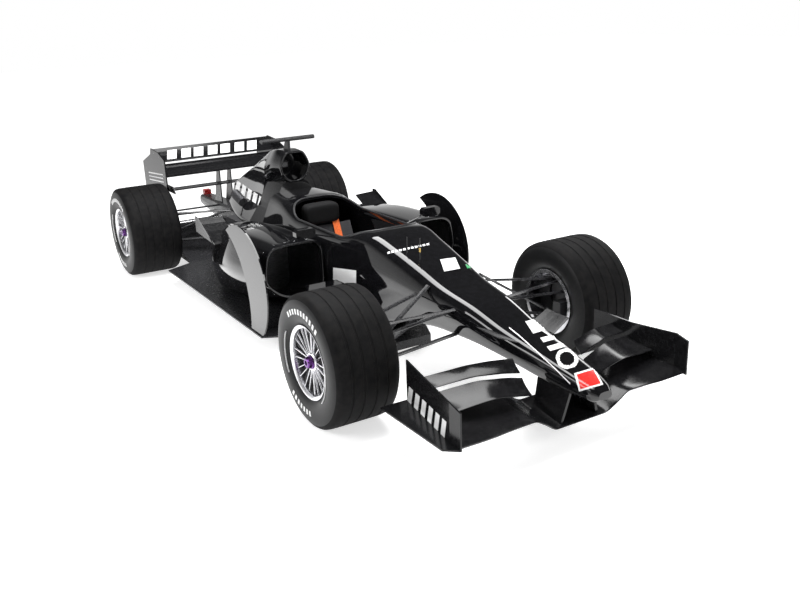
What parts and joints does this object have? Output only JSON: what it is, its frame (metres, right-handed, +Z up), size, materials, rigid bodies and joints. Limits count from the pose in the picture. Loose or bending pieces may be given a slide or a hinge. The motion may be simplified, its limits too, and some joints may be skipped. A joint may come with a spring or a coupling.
{
  "type": "open wheel racing car",
  "caption": "Single-seat open wheel racing car with front and rear wings, sidepods, airbox, exposed suspension and grooved tyres.",
  "frame": {"origin": "on the ground, under the middle of the car's length and width", "axes": "+X forward, +Y to the driver's left, +Z up"},
  "size_m": [4.7722, 1.8, 1.0704],
  "materials": {
    "body_black": "gloss black paint over carbon composite",
    "floor_carbon": "satin carbon",
    "seat_shell": "matte",
    "headrest_pad": "matte",
    "plank_laminate": "matte laminate",
    "radiator_core": "matte",
    "engine_casting": "cast",
    "gearbox_casing": "satin",
    "steering_grip": "matte",
    "shaft_steel": "ground",
    "rim_alloy": "polished",
    "tyre_rubber": "matte",
    "upright_dark": "satin",
    "link_black": "gloss"
  },
  "bodies": {
    "car": {"nose_cone": "body_black", "monocoque": "body_black", "seat": "seat_shell", "headrest": "headrest_pad", "front_wing_main": "body_black", "front_wing_flaps": "body_black", "front_wing_endplates": "body_black", "wing_pylons": "body_black", "floor": "floor_carbon", "plank": "plank_laminate", "diffuser": "floor_carbon", "sidepod_left": "body_black", "sidepod_right": "body_black", "radiators": "radiator_core", "engine_block": "engine_casting", "airbox": "body_black", "engine_cover": "body_black", "roll_hoop": "body_black", "camera_pod": "body_black", "gearbox": "gearbox_casing", "rear_wing_main": "body_black", "rear_wing_flap": "body_black", "rear_wing_endplates": "body_black", "rear_wing_pylons": "body_black", "rear_left_upright": "upright_dark", "rear_right_upright": "upright_dark", "front_left_links": "link_black", "front_right_links": "link_black", "rear_left_links": "link_black", "rear_right_links": "link_black", "driveshafts": "shaft_steel", "nose_winglets": "body_black", "turning_vanes": "body_black", "mirrors": "body_black", "lower_rear_wing": "body_black", "flip_ups": "body_black", "barge_boards": "body_black"},
    "steering_wheel": {"steering_wheel": "steering_grip"},
    "front_left_upright": {"front_left_upright": "upright_dark"},
    "front_right_upright": {"front_right_upright": "upright_dark"},
    "front_left_wheel": {"front_left_rim": "rim_alloy", "front_left_tyre": "tyre_rubber"},
    "front_right_wheel": {"front_right_rim": "rim_alloy", "front_right_tyre": "tyre_rubber"},
    "rear_left_wheel": {"rear_left_rim": "rim_alloy", "rear_left_tyre": "tyre_rubber"},
    "rear_right_wheel": {"rear_right_rim": "rim_alloy", "rear_right_tyre": "tyre_rubber"}
  },
  "joints": [
    {"name": "front_left_steer", "type": "hinge", "parent": "car", "child": "front_left_upright", "pos_m": [1.354, 0.69, 0.327], "axis": [0, 0, 1], "range_deg": [-14, 14]},
    {"name": "front_left_roll", "type": "hinge", "parent": "front_left_upright", "child": "front_left_wheel", "pos_m": [1.354, 0.7275, 0.327], "axis": [0, 1, 0], "continuous": true},
    {"name": "rear_left_roll", "type": "hinge", "parent": "car", "child": "rear_left_wheel", "pos_m": [-1.786, 0.71, 0.33], "axis": [0, 1, 0], "continuous": true},
    {"name": "front_right_steer", "type": "hinge", "parent": "car", "child": "front_right_upright", "pos_m": [1.354, -0.69, 0.327], "axis": [0, 0, 1], "range_deg": [-14, 14]},
    {"name": "front_right_roll", "type": "hinge", "parent": "front_right_upright", "child": "front_right_wheel", "pos_m": [1.354, -0.7275, 0.327], "axis": [0, 1, 0], "continuous": true},
    {"name": "rear_right_roll", "type": "hinge", "parent": "car", "child": "rear_right_wheel", "pos_m": [-1.786, -0.71, 0.33], "axis": [0, 1, 0], "continuous": true},
    {"name": "steering_wheel_turn", "type": "hinge", "parent": "car", "child": "steering_wheel", "pos_m": [0.53132, 0, 0.56], "axis": [-0.9791, 0, 0.2034], "range_deg": [-154, 154]}
  ],
  "couplings": [
    {"joint": "front_right_steer", "follows": "front_left_steer", "ratio": 1},
    {"joint": "steering_wheel_turn", "follows": "front_left_steer", "ratio": 11}
  ]
}
